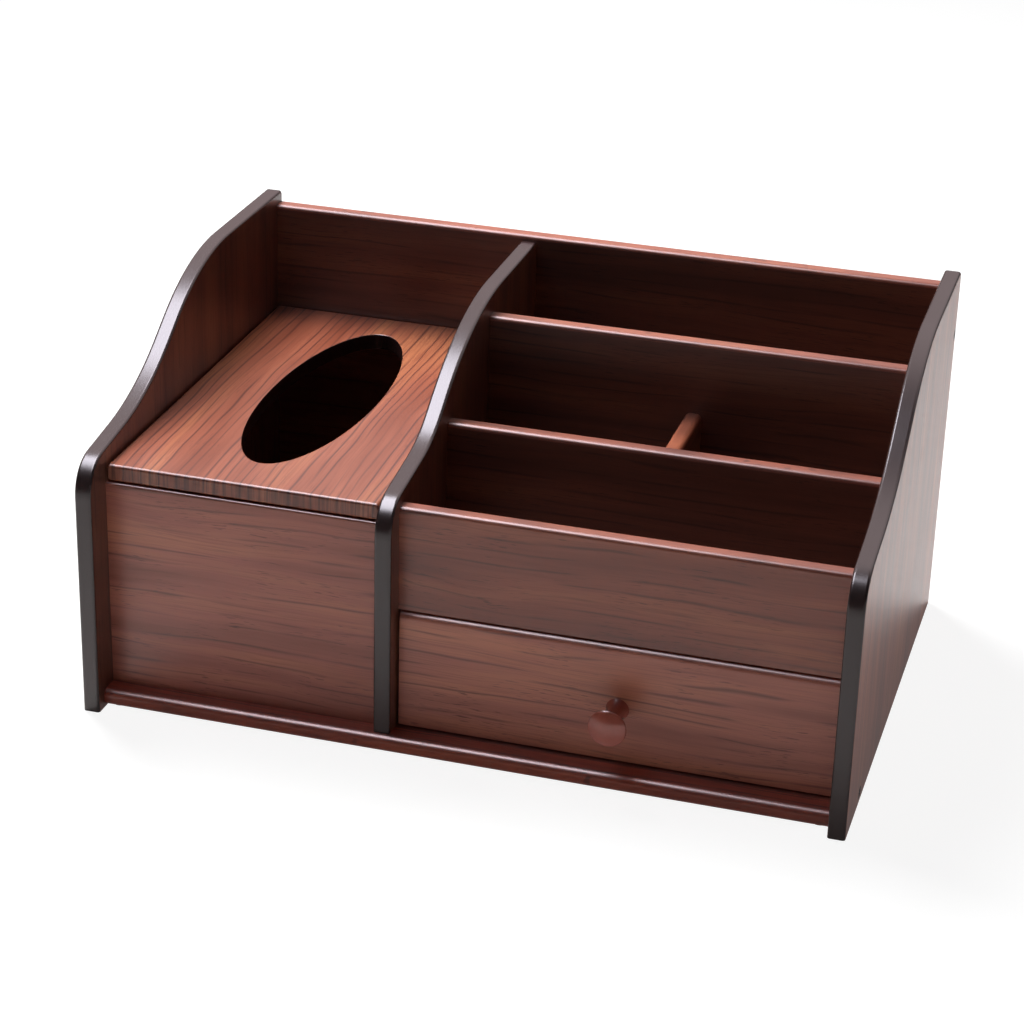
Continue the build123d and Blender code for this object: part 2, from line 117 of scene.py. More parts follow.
# The faces inside the box get a painted shade, a darker tint over the foil for the shade inside the box:
# this much of the outer foil's colour stays
paintedInnerShade = colour("#bcd3d8")
# Black-brown paint on the sawn edges: smoother than the foil, so it shows the lamps as thin lines
paint = {"colour": "#2a1716", "roughness": 0.27, "blur": 0.1}
# Widths over which the foil passes into the painted shade inside and into the dark streaks
seam = {"inside": 0.3, "streaks": 0.5}


def walnutFoil(name, grain, through, look=foil, seed=0.0, panel=None, slotHole=None, inside=(),
               streaked=None):
    # grain and through are 0, 1 or 2 for X, Y or Z, and a limit is (axis, direction, place);
    # panel is the painted board's mid X and half width, slotHole its slot's centre and radii,
    # a face past every limit of the inner list gets the painted shade of inner faces, and one past streaked
    # has dark streaks
    material, tree = newMaterial(name)
    across = 3 - grain - through
    objectPlace = addNode(tree, "ShaderNodeTexCoord").outputs["Object"]
    spot = addNode(tree, "ShaderNodeSeparateXYZ", [objectPlace]).outputs
    board = addNode(tree, "ShaderNodeCombineXYZ", [spot[grain], spot[across], spot[through]])
    inMm = addNode(tree, "ShaderNodeVectorMath", [board, (1 / mm,) * 3], operation="MULTIPLY")
    apart = [seed * step for step in look["seedStep"]]
    start = addNode(tree, "ShaderNodeVectorMath", [inMm, apart], operation="ADD")

    def patches(part, where):
        # noise whose patches have this part's size
        *size, detail = look[part]
        perMm = [1 / length for length in size]
        scaled = addNode(tree, "ShaderNodeVectorMath", [where, perMm], operation="MULTIPLY")
        return addNode(tree, "ShaderNodeTexNoise", {"Vector": scaled, "Scale": 1.0, "Detail": detail})

    def shownPatches(part, where):
        # the same as a mask that rises over this part's range
        return addNode(
            tree, "ShaderNodeMapRange", [patches(part, where), *look[part + "Range"]],
            interpolation_type="SMOOTHSTEP")

    def past(limit, width):
        # 0 before the limit, and 1 from this many millimetres past it
        axis, direction, place = limit
        ahead = addNode(tree, "ShaderNodeMath", [spot[axis], place], operation="SUBTRACT")
        signed = addNode(tree, "ShaderNodeMath", [ahead, direction], operation="MULTIPLY")
        return addNode(
            tree, "ShaderNodeMapRange", [signed, 0.0, width * mm], interpolation_type="SMOOTHSTEP")

    # the grain as a whole wanders a little across the board
    offset = addNode(tree, "ShaderNodeMath", [patches("sway", start), 0.5], operation="SUBTRACT")
    sway = addNode(tree, "ShaderNodeMath", [offset, look["swayWidth"]], operation="MULTIPLY")
    shift = addNode(tree, "ShaderNodeCombineXYZ", {1: sway})
    swayed = addNode(tree, "ShaderNodeVectorMath", [start, shift], operation="ADD")

    # growth lines: a wave across the grain whose phase drifts, sharpened to thin dark lines
    acrossMm = addNode(tree, "ShaderNodeSeparateXYZ", [swayed]).outputs[1]
    ringPatch = patches("ringPatch", swayed)
    drift = addNode(tree, "ShaderNodeMath", [ringPatch, look["ringDrift"] * math.tau], operation="MULTIPLY")
    phase = addNode(
        tree, "ShaderNodeMath", [acrossMm, math.tau / look["ring"], drift], operation="MULTIPLY_ADD")
    sine = addNode(tree, "ShaderNodeMath", [phase], operation="SINE")
    wave = addNode(tree, "ShaderNodeMath", [sine, 0.5, 0.5], operation="MULTIPLY_ADD")
    lines = addNode(tree, "ShaderNodeMath", [wave, look["ringSharp"]], operation="POWER")
    fade = shownPatches("ringFade", swayed)
    fadedLines = addNode(tree, "ShaderNodeMath", [lines, fade], operation="MULTIPLY")
    lineMask = addNode(tree, "ShaderNodeMath", [fadedLines, look["lineStrength"]], operation="MULTIPLY")

    # fibres and pores: fine dark dashes, the pores only in patches
    fibre = patches("fibre", swayed)
    fibreShown = addNode(
        tree, "ShaderNodeMapRange", [fibre, *look["fibreRange"]], interpolation_type="SMOOTHSTEP")
    fibreMask = addNode(tree, "ShaderNodeMath", [fibreShown, look["fibreStrength"]], operation="MULTIPLY")
    pore = shownPatches("pore", swayed)
    porePatch = shownPatches("porePatch", swayed)
    poresHere = addNode(tree, "ShaderNodeMath", [pore, porePatch], operation="MULTIPLY")
    poreMask = addNode(tree, "ShaderNodeMath", [poresHere, look["poreStrength"]], operation="MULTIPLY")

    toneColours = [colour(look[shade]) for shade in ("dark", "mid", "light")]
    wood = addNode(
        tree, "ShaderNodeValToRGB", [patches("tone", swayed)],
        stops=list(zip(look["toneStops"], toneColours)))
    layers = [(fibreMask, "dark"), (lineMask, "lineColour"), (poreMask, "poreColour")]
    if streaked:
        streak = shownPatches("streak", start)
        onEdge = addNode(
            tree, "ShaderNodeMath", [streak, past(streaked, seam["streaks"])], operation="MULTIPLY")
        streakMask = addNode(
            tree, "ShaderNodeMath", [onEdge, look["streakStrength"]], operation="MULTIPLY")
        layers.append((streakMask, "lineColour"))
    for mask, shade in layers:
        layer = {0: mask, 6: wood, 7: colour(look[shade])}
        wood = addNode(tree, "ShaderNodeMix", layer, data_type="RGBA").outputs[2]
    spread = look["roughnessSpread"]
    rough = addNode(
        tree, "ShaderNodeMath", [fibre, spread, look["roughness"] - spread / 2],
        operation="MULTIPLY_ADD")

    # painted shade: faces inside the box are darkened by a tint, standing in for the shade there
    if inside:
        paintedShadeMask = 1.0
        for limit in inside:
            paintedShadeMask = addNode(
                tree, "ShaderNodeMath", [past(limit, seam["inside"]), paintedShadeMask], operation="MULTIPLY")
        wood = addNode(
            tree, "ShaderNodeMix", {0: paintedShadeMask, 6: wood, 7: paintedInnerShade}, data_type="RGBA",
            blend_type="MULTIPLY").outputs[2]

    painted = None
    if panel:
        # the paint covers the sawn edge up to just short of the broad faces
        middle, halfWidth = panel
        aside = addNode(tree, "ShaderNodeMath", [spot[0], middle], operation="SUBTRACT")
        side = addNode(tree, "ShaderNodeMath", [aside], operation="ABSOLUTE")
        blur = paint["blur"] * mm
        painted = addNode(
            tree, "ShaderNodeMapRange", [side, halfWidth + blur, halfWidth - blur],
            interpolation_type="SMOOTHSTEP")
    if slotHole:
        # the same paint covers the wall of the slot
        squares = []
        for axis, (centre, radius) in enumerate(zip(*slotHole)):
            offset = addNode(tree, "ShaderNodeMath", [spot[axis], centre], operation="SUBTRACT")
            share = addNode(tree, "ShaderNodeMath", [offset, radius], operation="DIVIDE")
            squares.append(addNode(tree, "ShaderNodeMath", [share, share], operation="MULTIPLY"))
        squared = addNode(tree, "ShaderNodeMath", squares, operation="ADD")
        reach = addNode(tree, "ShaderNodeMath", [squared], operation="SQRT")
        painted = addNode(tree, "ShaderNodeMath", [reach, 1.0], operation="LESS_THAN")
    if painted:
        cover = {0: painted, 6: wood, 7: colour(paint["colour"])}
        wood = addNode(tree, "ShaderNodeMix", cover, data_type="RGBA").outputs[2]
        rough = addNode(tree, "ShaderNodeMix", {0: painted, 2: rough, 3: paint["roughness"]})

    fibreRelief = addNode(tree, "ShaderNodeMath", [fibre, look["fibreRelief"]], operation="MULTIPLY")
    relief = addNode(tree, "ShaderNodeMath", [poreMask, -1.0, fibreRelief], operation="MULTIPLY_ADD")
    bump = addNode(tree, "ShaderNodeBump", {
        "Height": relief, "Strength": look["reliefStrength"], "Distance": look["reliefDepth"] * mm})
    shader = addNode(tree, "ShaderNodeBsdfPrincipled", {
        "Base Color": wood, "Roughness": rough, "IOR": 1.5, "Normal": bump})
    addNode(tree, "ShaderNodeOutputMaterial", [shader])
    return material


speckles = {"detail": 3.0, "reliefStrength": 0.4, "reliefDepth": 0.02}


def plainMaterial(name, code, roughness, metallic=0.0, speckle=0.0, grain=1.0):
    # a surface with a fine speckle of tone and relief, whose grain is in millimetres
    material, tree = newMaterial(name)
    objectPlace = addNode(tree, "ShaderNodeTexCoord").outputs["Object"]
    noise = addNode(tree, "ShaderNodeTexNoise", {
        "Vector": objectPlace, "Scale": 1 / (grain * mm), "Detail": speckles["detail"]})
    low = [c * (1 - speckle) for c in colour(code)[:3]] + [1.0]
    high = [min(1.0, c * (1 + speckle)) for c in colour(code)[:3]] + [1.0]
    tint = addNode(tree, "ShaderNodeMix", {0: noise, 6: low, 7: high}, data_type="RGBA").outputs[2]
    bump = addNode(tree, "ShaderNodeBump", {
        "Height": noise, "Strength": speckles["reliefStrength"],
        "Distance": speckles["reliefDepth"] * mm})
    shader = addNode(tree, "ShaderNodeBsdfPrincipled", {
        "Base Color": tint, "Roughness": roughness, "Metallic": metallic, "Normal": bump})
    addNode(tree, "ShaderNodeOutputMaterial", [shader])
    return material


def dress(material, *names):
    for name in names:
        for materialSlot in nodes[name].material_slots:
            materialSlot.material = material


def boardMiddle(name, axis):
    low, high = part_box(name)
    return (low[axis] + high[axis]) / 2


def boardHalf(name, axis):
    low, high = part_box(name)
    return (high[axis] - low[axis]) / 2


# Boards. Faces inside the box get a painted shade, a darker tint over the foil, up to the rounded top edges.
# The centre upright has it on both sides, and the left panel and the back have it on their outer faces too.
boards = {"paintInset": 0.12, "topBand": 2.4, "streakBand": 1.2}
everywhere = [(2, 1, -1.0)]


# the painted shade stops this far below a board's top, so the rounded top edge keeps the foil's colour
def under(name):
    return (2, -1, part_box(name)[1][2] - boards["topBand"] * mm)


def facing(name, axis, direction):
    return (axis, direction, boardMiddle(name, axis))


panelPaintedShade = {
    "left_side_panel": everywhere,
    "right_side_panel": [facing("right_side_panel", 0, -1)],
    "centre_upright": everywhere,
}
for seed, (name, inside) in enumerate(panelPaintedShade.items()):
    edge = (boardMiddle(name, 0), boardHalf(name, 0) - boards["paintInset"] * mm)
    dress(walnutFoil(name + "_walnutFoil", 2, 0, seed=seed + 1.0, panel=edge, inside=inside), name)
frontFoils = {
    "back_panel": foil,
    "tissue_front_panel": tissueFrontPaintedLightFoil,
    "upper_front_panel": foil,
    "drawer_front": drawerFrontPaintedLightFoil,
}
for seed, (name, look) in enumerate(frontFoils.items()):
    inside = [under(name)] if name == "back_panel" else [facing(name, 1, 1), under(name)]
    dress(walnutFoil(name + "_walnutFoil", 0, 1, look, seed=seed + 0.4, inside=inside), name)
for name in ("middle_partition", "rear_partition"):
    dress(walnutFoil(name + "_walnutFoil", 0, 1, seed=4.2, inside=[under(name)]), name)
dress(walnutFoil("walnutFoilDrawerBack", 0, 1, seed=6.2, inside=everywhere), "drawer_back")
# on the base the painted shade starts behind the tissue front
behindTissueFront = (1, 1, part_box("tissue_front_panel")[0][1])
dress(walnutFoil("walnutFoilBase", 0, 2, baseFoil, seed=3.0, inside=[behindTissueFront]), "base_board")
dress(walnutFoil("walnutFoilLevelBoards", 0, 2, seed=7.0, inside=everywhere),
      "organiser_floor", "drawer_bottom")
dress(walnutFoil("walnutFoilDivider", 1, 0, seed=4.0, inside=[under("short_divider")]), "short_divider")
dress(walnutFoil("walnutFoilDrawerSides", 1, 0, seed=8.0, inside=everywhere),
      "drawer_left_side", "drawer_right_side")

slotSize = {"halfWidth": 30.0, "halfLength": 95.0, "towardsRear": 1.5, "paintedRim": 0.3}
slotCentre = (
    boardMiddle("tissue_lid", 0),
    boardMiddle("tissue_lid", 1) + slotSize["towardsRear"] * mm,
)
slotRadii = [(slotSize[half] + slotSize["paintedRim"]) * mm for half in ("halfWidth", "halfLength")]
lidFront = (1, -1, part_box("tissue_lid")[0][1] + boards["streakBand"] * mm)
lidCover = walnutFoil(
    "walnutFoilLid", 1, 2, lidFoil, seed=5.0, slotHole=(slotCentre, slotRadii), streaked=lidFront)
dress(lidCover, "tissue_lid")
print("boards dressed")

# Fittings. Stained and lacquered birch: an even red-brown with a clear gloss.
knobLacquer = plainMaterial("lacqueredBirch", "#ac5747", 0.22, speckle=0.12, grain=2.0)
# Phosphated steel is a dull black with soft glints, and zinc plating a bright bluish grey
blackSteel = plainMaterial("blackPhosphatedSteel", "#1d1c1c", 0.42, metallic=1.0, speckle=0.2)
zincSteel = plainMaterial("zincPlatedSteel", "#b8bac0", 0.28, metallic=1.0, speckle=0.05)
# Moulded rubber is matt black with a fine tooth, and sawn beech pale and matt
padRubber = plainMaterial("blackRubber", "#141312", 0.75, speckle=0.3, grain=0.6)
beech = plainMaterial("sawnBeech", "#c39a68", 0.6, speckle=0.12)
dress(zincSteel, "knob_screw", "lid_hinge_pins")
dress(beech, "tissue_front_dowels", "upper_front_dowels", "floor_dowels", "partition_dowels",
      "divider_dowels", "drawer_front_dowels")
print("fittings dressed")


# Knob, screws and pads are turned by one kind of Geometry Nodes tree. Its grid is wrapped round the
# Z axis, and two curves give each ring its distance from the axis and its height.
turning = {
    "weld": 0.002, "thinnestCore": 0.4, "recessSlope": 3.0, "sharpAngle": 35.0, "rings": 60, "segments": 48,
}


def turnedTree(name, profile):
    # profile is a list of (radius, height, rings up to here), from the outer pole to the inner one
    tree = bpy.data.node_groups.new(name, "GeometryNodeTree")
    tree.interface.new_socket("Places", in_out="INPUT", socket_type="NodeSocketGeometry")
    for label, kind, value in (
            ("Radius", "NodeSocketFloat", 1.0), ("Height", "NodeSocketFloat", 1.0),
            ("Rings", "NodeSocketInt", turning["rings"]), ("Segments", "NodeSocketInt", turning["segments"]),
            ("Thread Pitch", "NodeSocketFloat", 1.0), ("Thread Depth", "NodeSocketFloat", 0.0),
            ("Thread Start", "NodeSocketFloat", 0.0), ("Recess Width", "NodeSocketFloat", 0.0),
            ("Recess Reach", "NodeSocketFloat", 0.0), ("Recess Depth", "NodeSocketFloat", 0.0),
            ("Material", "NodeSocketMaterial", None)):
        socket = tree.interface.new_socket(label, in_out="INPUT", socket_type=kind)
        if value is not None:
            socket.default_value = value
    tree.interface.new_socket("Geometry", in_out="OUTPUT", socket_type="NodeSocketGeometry")
    given = addNode(tree, "NodeGroupInput").outputs
    ringTotal = sum(rings for radius, height, rings in profile)

    def along(column, share):
        # a curve through the profile's radii or heights, each as a share of the largest
        node = addNode(tree, "ShaderNodeFloatCurve", {"Value": share})
        largest = max(abs(point[column]) for point in profile)
        done = 0
        places = []
        for point in profile:
            done += point[2]
            places.append((done / ringTotal, abs(point[column]) / largest))
        points = node.mapping.curves[0].points
        points[0].location = places[0]
        points[1].location = places[-1]
        for place in places[1:-1]:
            points.new(*place)
        for point in points:
            point.handle_type = "VECTOR"
        node.mapping.update()
        return node

    withSeam = addNode(tree, "ShaderNodeMath", [given["Segments"], 1.0], operation="ADD")
    grid = addNode(tree, "GeometryNodeMeshGrid", {
        "Size X": 1.0, "Size Y": 1.0, "Vertices X": given["Rings"], "Vertices Y": withSeam})
    gridPlace = addNode(tree, "GeometryNodeInputPosition")
    spot = addNode(tree, "ShaderNodeSeparateXYZ", [gridPlace]).outputs
    share = addNode(tree, "ShaderNodeMath", [spot[0], 0.5], operation="ADD")
    turnShare = addNode(tree, "ShaderNodeMath", [spot[1], 0.5], operation="ADD")
    turn = addNode(tree, "ShaderNodeMath", [turnShare, math.tau], operation="MULTIPLY")
    cosine = addNode(tree, "ShaderNodeMath", [turn], operation="COSINE")
    sine = addNode(tree, "ShaderNodeMath", [turn], operation="SINE")
    plainRadius = addNode(tree, "ShaderNodeMath", [along(0, share), given["Radius"]], operation="MULTIPLY")
    plainHeight = addNode(tree, "ShaderNodeMath", [along(1, share), given["Height"]], operation="MULTIPLY")

    # thread: a ridge that winds down below its start and fades where the point gets thin
    turns = addNode(tree, "ShaderNodeMath", [plainHeight, given["Thread Pitch"]], operation="DIVIDE")
    winding = addNode(tree, "ShaderNodeMath", [turns, turnShare], operation="ADD")
    partTurn = addNode(tree, "ShaderNodeMath", [winding], operation="FRACT")
    zigzag = addNode(tree, "ShaderNodeMath", [partTurn, 2.0, -1.0], operation="MULTIPLY_ADD")
    groove = addNode(tree, "ShaderNodeMath", [zigzag], operation="ABSOLUTE")
    below = addNode(tree, "ShaderNodeMath", [plainHeight, given["Thread Start"]], operation="LESS_THAN")
    grooveBelow = addNode(tree, "ShaderNodeMath", [groove, below], operation="MULTIPLY")
    cut = addNode(tree, "ShaderNodeMath", [grooveBelow, given["Thread Depth"]], operation="MULTIPLY")
    cutRadius = addNode(tree, "ShaderNodeMath", [plainRadius, cut], operation="SUBTRACT")
    core = addNode(tree, "ShaderNodeMath", [plainRadius, turning["thinnestCore"]], operation="MULTIPLY")
    radius = addNode(tree, "ShaderNodeMath", [cutRadius, core], operation="MAXIMUM")

    # recess: two crossed slots in the outer face, with sloping walls
    nears = []
    for wave in (cosine, sine):
        offset = addNode(tree, "ShaderNodeMath", [wave, plainRadius], operation="MULTIPLY")
        nears.append(addNode(tree, "ShaderNodeMath", [offset], operation="ABSOLUTE"))
    halfSlot = addNode(tree, "ShaderNodeMath", [given["Recess Width"], 0.5], operation="MULTIPLY")
    nearest = addNode(tree, "ShaderNodeMath", nears, operation="MINIMUM")
    withinSlot = addNode(tree, "ShaderNodeMath", [halfSlot, nearest], operation="SUBTRACT")
    inSlot = addNode(tree, "ShaderNodeMath", [withinSlot, halfSlot], operation="DIVIDE")
    reach = given["Recess Reach"]
    withinReach = addNode(tree, "ShaderNodeMath", [reach, plainRadius], operation="SUBTRACT")
    inReach = addNode(tree, "ShaderNodeMath", [withinReach, reach], operation="DIVIDE")
    inBoth = addNode(tree, "ShaderNodeMath", [inSlot, inReach], operation="MINIMUM")
    slope = addNode(tree, "ShaderNodeMath", [inBoth, turning["recessSlope"]], operation="MULTIPLY")
    atMost = addNode(tree, "ShaderNodeMath", [slope, 1.0], operation="MINIMUM")
    sink = addNode(tree, "ShaderNodeMath", [atMost, 0.0], operation="MAXIMUM")
    faceShare = profile[1][2] / ringTotal
    onFace = addNode(tree, "ShaderNodeMath", [share, faceShare], operation="LESS_THAN")
    sinkOnFace = addNode(tree, "ShaderNodeMath", [sink, onFace], operation="MULTIPLY")
    sunk = addNode(tree, "ShaderNodeMath", [sinkOnFace, given["Recess Depth"]], operation="MULTIPLY")
    height = addNode(tree, "ShaderNodeMath", [plainHeight, sunk], operation="SUBTRACT")

    ringX = addNode(tree, "ShaderNodeMath", [cosine, radius], operation="MULTIPLY")
    ringY = addNode(tree, "ShaderNodeMath", [sine, radius], operation="MULTIPLY")
    ringSpot = addNode(tree, "ShaderNodeCombineXYZ", [ringX, ringY, height])
    shaped = addNode(tree, "GeometryNodeSetPosition", {"Geometry": grid, "Position": ringSpot})
    closed = addNode(tree, "GeometryNodeMergeByDistance", {
        "Geometry": shaped, "Distance": turning["weld"] * mm})
    pointing = addNode(
        tree, "GeometryNodeInputNamedAttribute", {"Name": "facing"}, data_type="FLOAT_VECTOR")
    aimed = addNode(tree, "FunctionNodeAlignRotationToVector", {"Vector": pointing}, axis="Z")
    placed = addNode(tree, "GeometryNodeInstanceOnPoints", {
        "Points": given["Places"], "Instance": closed, "Rotation": aimed})
    real = addNode(tree, "GeometryNodeRealizeInstances", {"Geometry": placed})
    finished = addNode(tree, "GeometryNodeSetMaterial", {
        "Geometry": real, "Material": given["Material"]})
    addNode(tree, "NodeGroupOutput", [finished])
    return tree


def turnPieces(name, tree, values, places, replaced, body):
    # one plain mesh of all the copies, each at its (place, direction)
    mesh = bpy.data.meshes.new(name)
    mesh.from_pydata([place for place, direction in places], [], [])
    directions = mesh.attributes.new("facing", "FLOAT_VECTOR", "POINT")
    for item, (place, direction) in zip(directions.data, places):
        item.vector = direction
    piece = bpy.data.objects.new(name, mesh)
    bpy.context.scene.collection.objects.link(piece)
    modifier = piece.modifiers.new("turning", "NODES")
    modifier.node_group = tree
    for item in tree.interface.items_tree:
        if item.in_out == "INPUT" and item.name in values:
            modifier[item.identifier] = values[item.name]
    evaluated = piece.evaluated_get(bpy.context.evaluated_depsgraph_get())
    plain = bpy.data.meshes.new_from_object(evaluated)
    piece.modifiers.clear()
    piece.data = plain
    plain.shade_smooth()
    plain.set_sharp_from_angle(angle=math.radians(turning["sharpAngle"]))
    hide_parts(replaced)
    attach(piece, body)
    print("turned:", name, len(places), "of", len(plain.polygons) // len(places), "faces")


def arc(start, bend, end, count):
    # points on the circle through three points, after the first of them
    (ax, ay), (bx, by), (cx, cy) = start, bend, end
    double = 2 * (ax * (by - cy) + bx * (cy - ay) + cx * (ay - by))
    a2, b2, c2 = ax * ax + ay * ay, bx * bx + by * by, cx * cx + cy * cy
    middleX = (a2 * (by - cy) + b2 * (cy - ay) + c2 * (ay - by)) / double
    middleY = (a2 * (cx - bx) + b2 * (ax - cx) + c2 * (bx - ax)) / double
    first = math.atan2(ay - middleY, ax - middleX)
    sweep = math.remainder(math.atan2(cy - middleY, cx - middleX) - first, math.tau)
    radius = math.hypot(ax - middleX, ay - middleY)
    angles = [first + sweep * step / count for step in range(1, count + 1)]
    return [(middleX + radius * math.cos(a), middleY + radius * math.sin(a)) for a in angles]


# Knob: a mushroom with a domed face, a small rolled rim and a flared stem, hollow for its screw.
# Each point of the rim is (inside the head's radius, in front of the dome's foot or the head's back).
knobSize = {
    "length": 24.0, "head": 19.6, "dome": 3.0, "rim": 1.0, "roll": 0.45, "neck": 9.4, "base": 12.0,
    "bore": 4.04, "boreDepth": 14.5, "towardsRight": 1.75, "belowMiddle": 2.65,
    "rimFront": ((0.16, -0.02), (0.0, -0.40)), "rimBack": ((0.0, 0.45), (0.14, 0.12)),
    "domePoints": 10, "stemPoints": 12, "ringsPerStep": 4, "segments": 96,
}
domeFoot = knobSize["length"] - knobSize["dome"]
headBack = domeFoot - knobSize["rim"]
headRadius = knobSize["head"] / 2
domeEdge = headRadius - knobSize["roll"]
domeRadius = (headRadius ** 2 + knobSize["dome"] ** 2) / (2 * knobSize["dome"])
domeCentre = knobSize["length"] - domeRadius
knobProfile = [(0, knobSize["length"], 0)]
for step in range(1, knobSize["domePoints"] + 1):
    r = domeEdge * step / knobSize["domePoints"]
    knobProfile.append((r, domeCentre + math.sqrt(domeRadius ** 2 - r * r), 2))
for foot, rimPoints in ((domeFoot, knobSize["rimFront"]), (headBack, knobSize["rimBack"])):
    knobProfile += [(headRadius - inset, foot + ahead, 2) for inset, ahead in rimPoints]
stemStart = (headRadius, headBack)
stemBend = (knobSize["neck"] / 2, headBack / 2)
stemEnd = (knobSize["base"] / 2, 0)
for r, z in arc(stemStart, stemBend, stemEnd, knobSize["stemPoints"]):
    knobProfile.append((r, max(0.0, z), 3))
knobProfile += [
    (knobSize["bore"] / 2, 0, 2),
    (knobSize["bore"] / 2, knobSize["boreDepth"], 4),
    (0, knobSize["boreDepth"], 2),
]
knobValues = {
    "Radius": headRadius * mm, "Height": knobSize["length"] * mm, "Segments": knobSize["segments"],
    "Rings": knobSize["ringsPerStep"] * sum(point[2] for point in knobProfile),
    "Material": knobLacquer,
}
knobPlace = (
    boardMiddle("drawer_front", 0) + knobSize["towardsRight"] * mm,
    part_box("drawer_front")[0][1],
    boardMiddle("drawer_front", 2) - knobSize["belowMiddle"] * mm,
)
knobTree = turnedTree("turnedKnob", knobProfile)
turnPieces("turnedKnob", knobTree, knobValues, [(knobPlace, (0, -1, 0))], "drawer_knob", "drawer")

# Screws: a countersunk head with a cross recess, a plain neck, then a thread down to the point.
# The recess's reach is a share of the head's radius.
caseScrew = {"length": 30.0, "shank": 3.5, "head": 7.0, "pitch": 1.6, "thread": 0.45, "plainNeck": 9.0}
smallScrew = {"length": 20.0, "shank": 3.0, "head": 5.6, "pitch": 1.3, "thread": 0.4, "plainNeck": 6.0}
recess = {"width": 1.0, "reach": 0.62, "depth": 0.9}
screwRings = {"face": 16, "cone": 4, "shank": 66, "point": 10}


def screwTree(name, size):
    headR, shankR, length = size["head"] / 2, size["shank"] / 2, size["length"]
    return turnedTree(name, [
        (0, 0, 0),
        (headR, 0, screwRings["face"]),
        (shankR, headR - shankR, screwRings["cone"]),
        (shankR, length - size["shank"], screwRings["shank"]),
        (0, length, screwRings["point"]),
    ])


def screwValues(size, material):
    return {
        "Radius": size["head"] / 2 * mm, "Height": -size["length"] * mm,
        "Rings": sum(screwRings.values()) + 1, "Segments": turning["segments"],
        "Thread Pitch": size["pitch"] * mm, "Thread Depth": size["thread"] * mm,
        "Thread Start": -size["plainNeck"] * mm, "Recess Width": recess["width"] * mm,
        "Recess Reach": recess["reach"] * size["head"] / 2 * mm, "Recess Depth": recess["depth"] * mm,
        "Material": material,
    }


screwSpots = {
    "sideHeight": 164.5, "sideFromFront": 39.0, "uprightInset": 27.0, "uprightHeights": (40.0, 160.0),
    "floorSpread": 60.0,
}
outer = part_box("right_side_panel")[1][0]
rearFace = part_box("back_panel")[1][1]
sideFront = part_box("left_side_panel")[0][1]
baseMiddle = boardMiddle("base_board", 2)
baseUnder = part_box("base_board")[0][2]
uprightX = boardMiddle("centre_upright", 0)
uprightLow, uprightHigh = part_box("centre_upright")
uprightInset = screwSpots["uprightInset"] * mm
floorX = boardMiddle("organiser_floor", 0)
floorZ = boardMiddle("organiser_floor", 2)
sideSpots = [
    (boardMiddle("back_panel", 1), screwSpots["sideHeight"] * mm),
    (sideFront + screwSpots["sideFromFront"] * mm, baseMiddle),
]
sidePlaces = [((side * outer, y, z), (side, 0, 0)) for side in (-1, 1) for y, z in sideSpots]
baseYs = (uprightLow[1] + uprightInset, uprightHigh[1] - uprightInset)
basePlaces = [((uprightX, y, baseUnder), (0, 0, -1)) for y in baseYs]
backSpots = [(uprightX, height * mm) for height in screwSpots["uprightHeights"]]
backSpots += [(floorX + side * screwSpots["floorSpread"] * mm, floorZ) for side in (-1, 1)]
backSpots += [(boardMiddle("tissue_lid", 0), baseMiddle), (floorX, baseMiddle)]
backPlaces = [((x, rearFace, z), (0, 1, 0)) for x, z in backSpots]
caseTree = screwTree("countersunkScrew", caseScrew)
caseValues = screwValues(caseScrew, blackSteel)
turnPieces("sideScrews", caseTree, caseValues, sidePlaces, "side_panel_screws", "case")
turnPieces("baseScrews", caseTree, caseValues, basePlaces, "base_screws", "case")
turnPieces("backScrews", caseTree, caseValues, backPlaces, "back_screws", "case")

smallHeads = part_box("drawer_back_screws")
smallHead = smallScrew["head"] / 2 * mm
smallPlaces = [
    ((smallHeads[end][0], boardMiddle("drawer_back", 1), z), (2 * end - 1, 0, 0))
    for end in (0, 1)
    for z in (smallHeads[0][2] + smallHead, smallHeads[1][2] - smallHead)
]
smallTree = screwTree("smallScrew", smallScrew)
turnPieces("drawerBackScrews", smallTree, screwValues(smallScrew, zincSteel), smallPlaces,
           "drawer_back_screws", "drawer")

# Pads: moulded rubber buttons with a rounded edge, stuck under the base
padSize = {"diameter": 10.0, "thickness": 1.0, "edge": 0.3, "edgeMiddle": 0.09, "ringsPerStep": 2}
padRadius = padSize["diameter"] / 2
padFace = padSize["thickness"]
padProfile = [
    (0, padFace, 0),
    (padRadius - padSize["edge"], padFace, 5),
    (padRadius - padSize["edgeMiddle"], padFace - padSize["edgeMiddle"], 2),
    (padRadius, padFace - padSize["edge"], 2),
    (padRadius, 0, 3),
    (0, 0, 4),
]
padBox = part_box("foot_pads")
padXs = (padBox[0][0] + padRadius * mm, padBox[1][0] - padRadius * mm)
padYs = (padBox[0][1] + padRadius * mm, padBox[1][1] - padRadius * mm)
padPlaces = [((x, y, baseUnder), (0, 0, -1)) for x in padXs for y in padYs]
padValues = {
    "Radius": padRadius * mm, "Height": padFace * mm, "Segments": turning["segments"],
    "Rings": padSize["ringsPerStep"] * sum(point[2] for point in padProfile) + 1,
    "Material": padRubber,
}
padTree = turnedTree("rubberPad", padProfile)
turnPieces("footPads", padTree, padValues, padPlaces, "foot_pads", "case")
print("turned pieces made")

